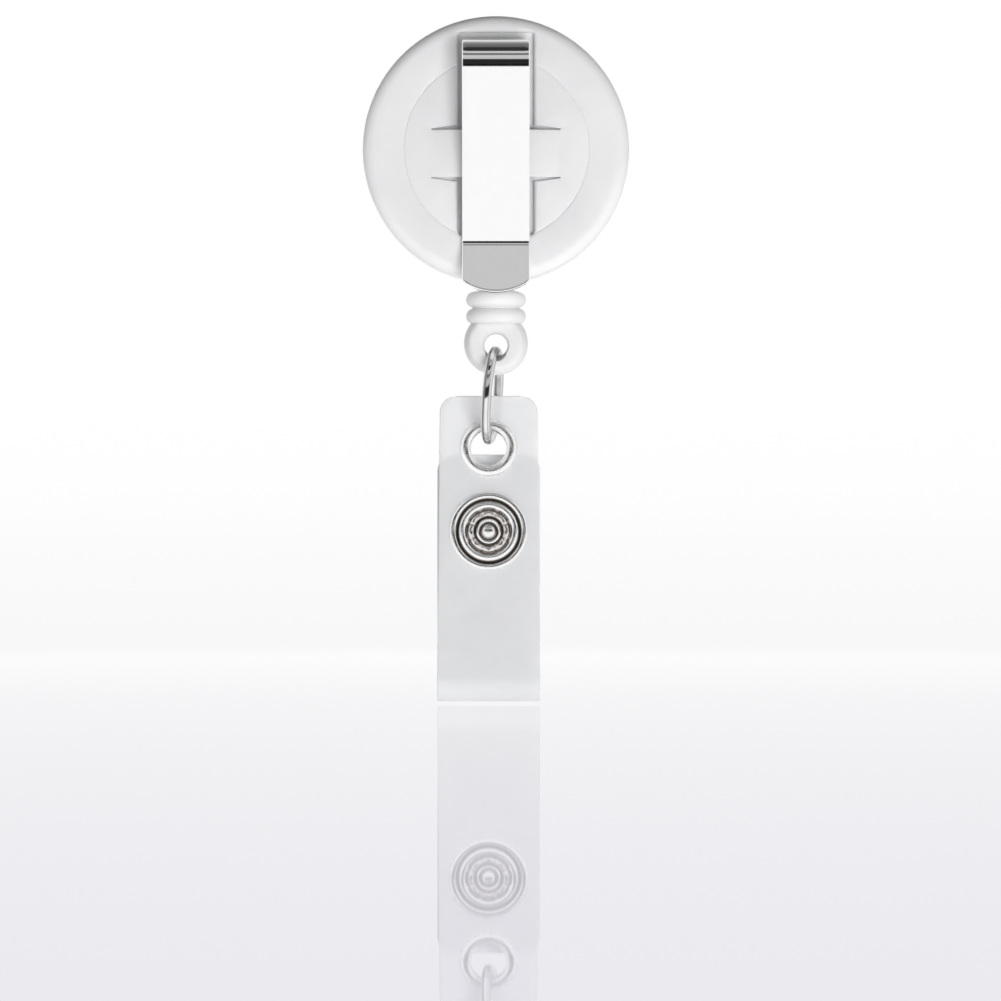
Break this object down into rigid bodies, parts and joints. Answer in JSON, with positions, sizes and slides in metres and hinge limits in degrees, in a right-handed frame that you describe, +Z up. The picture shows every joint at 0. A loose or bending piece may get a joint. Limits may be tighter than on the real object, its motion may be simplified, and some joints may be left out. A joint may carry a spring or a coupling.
{
  "type": "retractable badge reel",
  "caption": "Round spring reel with a folded belt clip on its back, a moulded cord end, a wire ring, and a clear strap that loops through a badge slot and snaps shut.",
  "frame": {"origin": "on the spool's axis, in the plane of the case's flat back face", "axes": "+Z up, with the strap hanging along -Z; +Y from the back, where the belt clip is, to the front face; +X to the right as the back is looked at"},
  "size_m": [0.032, 0.0152, 0.0825],
  "materials": {
    "case_plastic": "smooth, satin white",
    "cord_end_plastic": "smooth white",
    "spool_plastic": "natural, matte",
    "clip_steel": "bright nickel plate",
    "spring_steel": "blued",
    "cord_braid": "fine white braid",
    "ring_wire": "bright plated wire",
    "clear_vinyl": "frosted, translucent",
    "eyelet_metal": "bright",
    "snap_metal": "bright nickel"
  },
  "bodies": {
    "case": {"back_shell": "case_plastic", "front_shell": "case_plastic", "mainspring": "spring_steel", "cord_run": "cord_braid", "cord_lead": "cord_braid", "clip_anchor_leg": "clip_steel"},
    "clip_leaf": {"clip_leaf": "clip_steel"},
    "spool": {"spool": "spool_plastic", "spring_cover": "spool_plastic", "cord_winding": "cord_braid"},
    "cord_end": {"cord_end": "cord_end_plastic", "cord_knot": "cord_braid"},
    "ring": {"jump_ring": "ring_wire"},
    "strap": {"strap_front": "clear_vinyl", "eyelet": "eyelet_metal", "eyelet_washer": "eyelet_metal", "snap_cap": "snap_metal", "snap_socket": "snap_metal"},
    "strap_tail": {"strap_tail": "clear_vinyl", "snap_stud": "snap_metal", "snap_stud_rivet": "snap_metal"}
  },
  "joints": [
    {"name": "cord_pull", "type": "slide", "parent": "case", "child": "cord_end", "axis": [0, 0, -1], "range_m": [0, 0.86], "stiffness_N_per_m": 0.6, "springref_m": -1, "deforming": ["cord_lead"]},
    {"name": "spool_turn", "type": "hinge", "parent": "case", "child": "spool", "pos_m": [0, 0.0042, 0], "axis": [0, 1, 0], "range_deg": [0, 4500]},
    {"name": "clip_flex", "type": "hinge", "parent": "case", "child": "clip_leaf", "pos_m": [0, -0.0021, 0.01005], "axis": [-1, 0, 0], "range_deg": [0, 10], "stiffness_Nm_per_rad": 0.5, "springref_deg": -2.86},
    {"name": "ring_swing", "type": "hinge", "parent": "cord_end", "child": "ring", "pos_m": [0, 0.0042, -0.02415], "axis": [0, 1, 0], "range_deg": [-64.7, 55.3]},
    {"name": "strap_swing", "type": "hinge", "parent": "ring", "child": "strap", "pos_m": [-0.00044, 0.0042, -0.02953], "axis": [0.9892, -0.1219, -0.0813], "range_deg": [-80, 80]},
    {"name": "snap_open", "type": "hinge", "parent": "strap", "child": "strap_tail", "pos_m": [-0.00089, 0.00685, -0.0636], "axis": [-1, 0, 0], "range_deg": [0, 60]}
  ],
  "couplings": [
    {"joint": "spool_turn", "follows": "cord_pull", "rad_per_m": 91.3}
  ]
}
